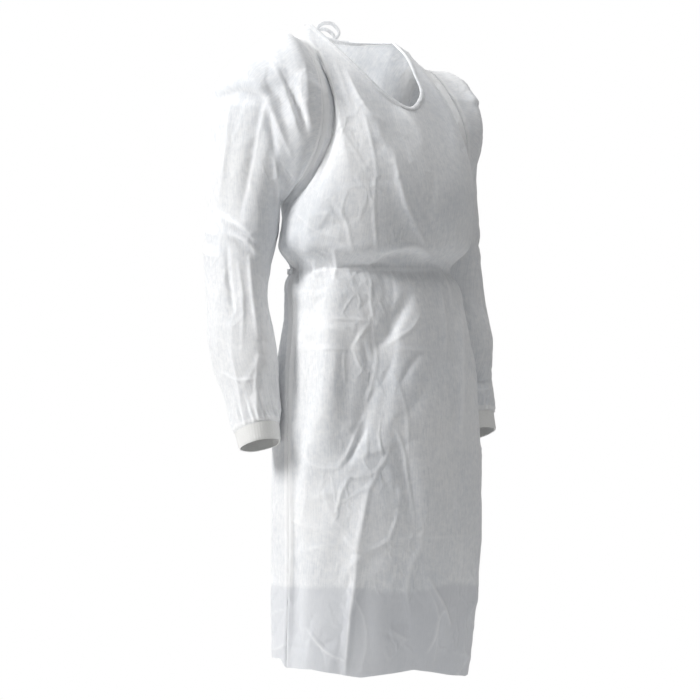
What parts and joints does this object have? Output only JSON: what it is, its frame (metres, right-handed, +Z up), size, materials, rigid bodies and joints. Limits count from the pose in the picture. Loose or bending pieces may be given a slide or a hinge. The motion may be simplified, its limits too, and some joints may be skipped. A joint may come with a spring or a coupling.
{
  "type": "isolation gown",
  "caption": "Long-sleeved single-use gown, worn shape: round bound neck tied at the nape, lapped open back, drawn-in tied waist, knitted cuffs, calf-length hem.",
  "frame": {"origin": "midway between the two neck points, in the neck opening, at the height from which the gown hangs off the shoulders", "axes": "+Z up; the wearer faces -Y; the wearer's right arm is towards -X and the left arm towards +X"},
  "size_m": [0.5859, 0.3619, 1.1758],
  "materials": {
    "spunbond": "matte white spunbond nonwoven with a faint fibrous sheen",
    "knit": "matte white rib knit",
    "trim": "matte white folded spunbond strip"
  },
  "bodies": {
    "root": {"front": "spunbond", "back_right": "spunbond", "back_left": "spunbond", "sleeve_right": "spunbond", "sleeve_left": "spunbond", "cuff_right": "knit", "cuff_left": "knit", "neck_binding": "trim", "neck_knot": "trim", "neck_loop_1": "trim", "neck_loop_2": "trim", "neck_end_1": "trim", "neck_end_2": "trim", "waist_tie_right": "trim", "waist_tie_left": "trim", "waist_knot": "trim", "waist_loop_1": "trim", "waist_loop_2": "trim", "waist_end_1": "trim", "waist_end_2": "trim"}
  },
  "joints": []
}
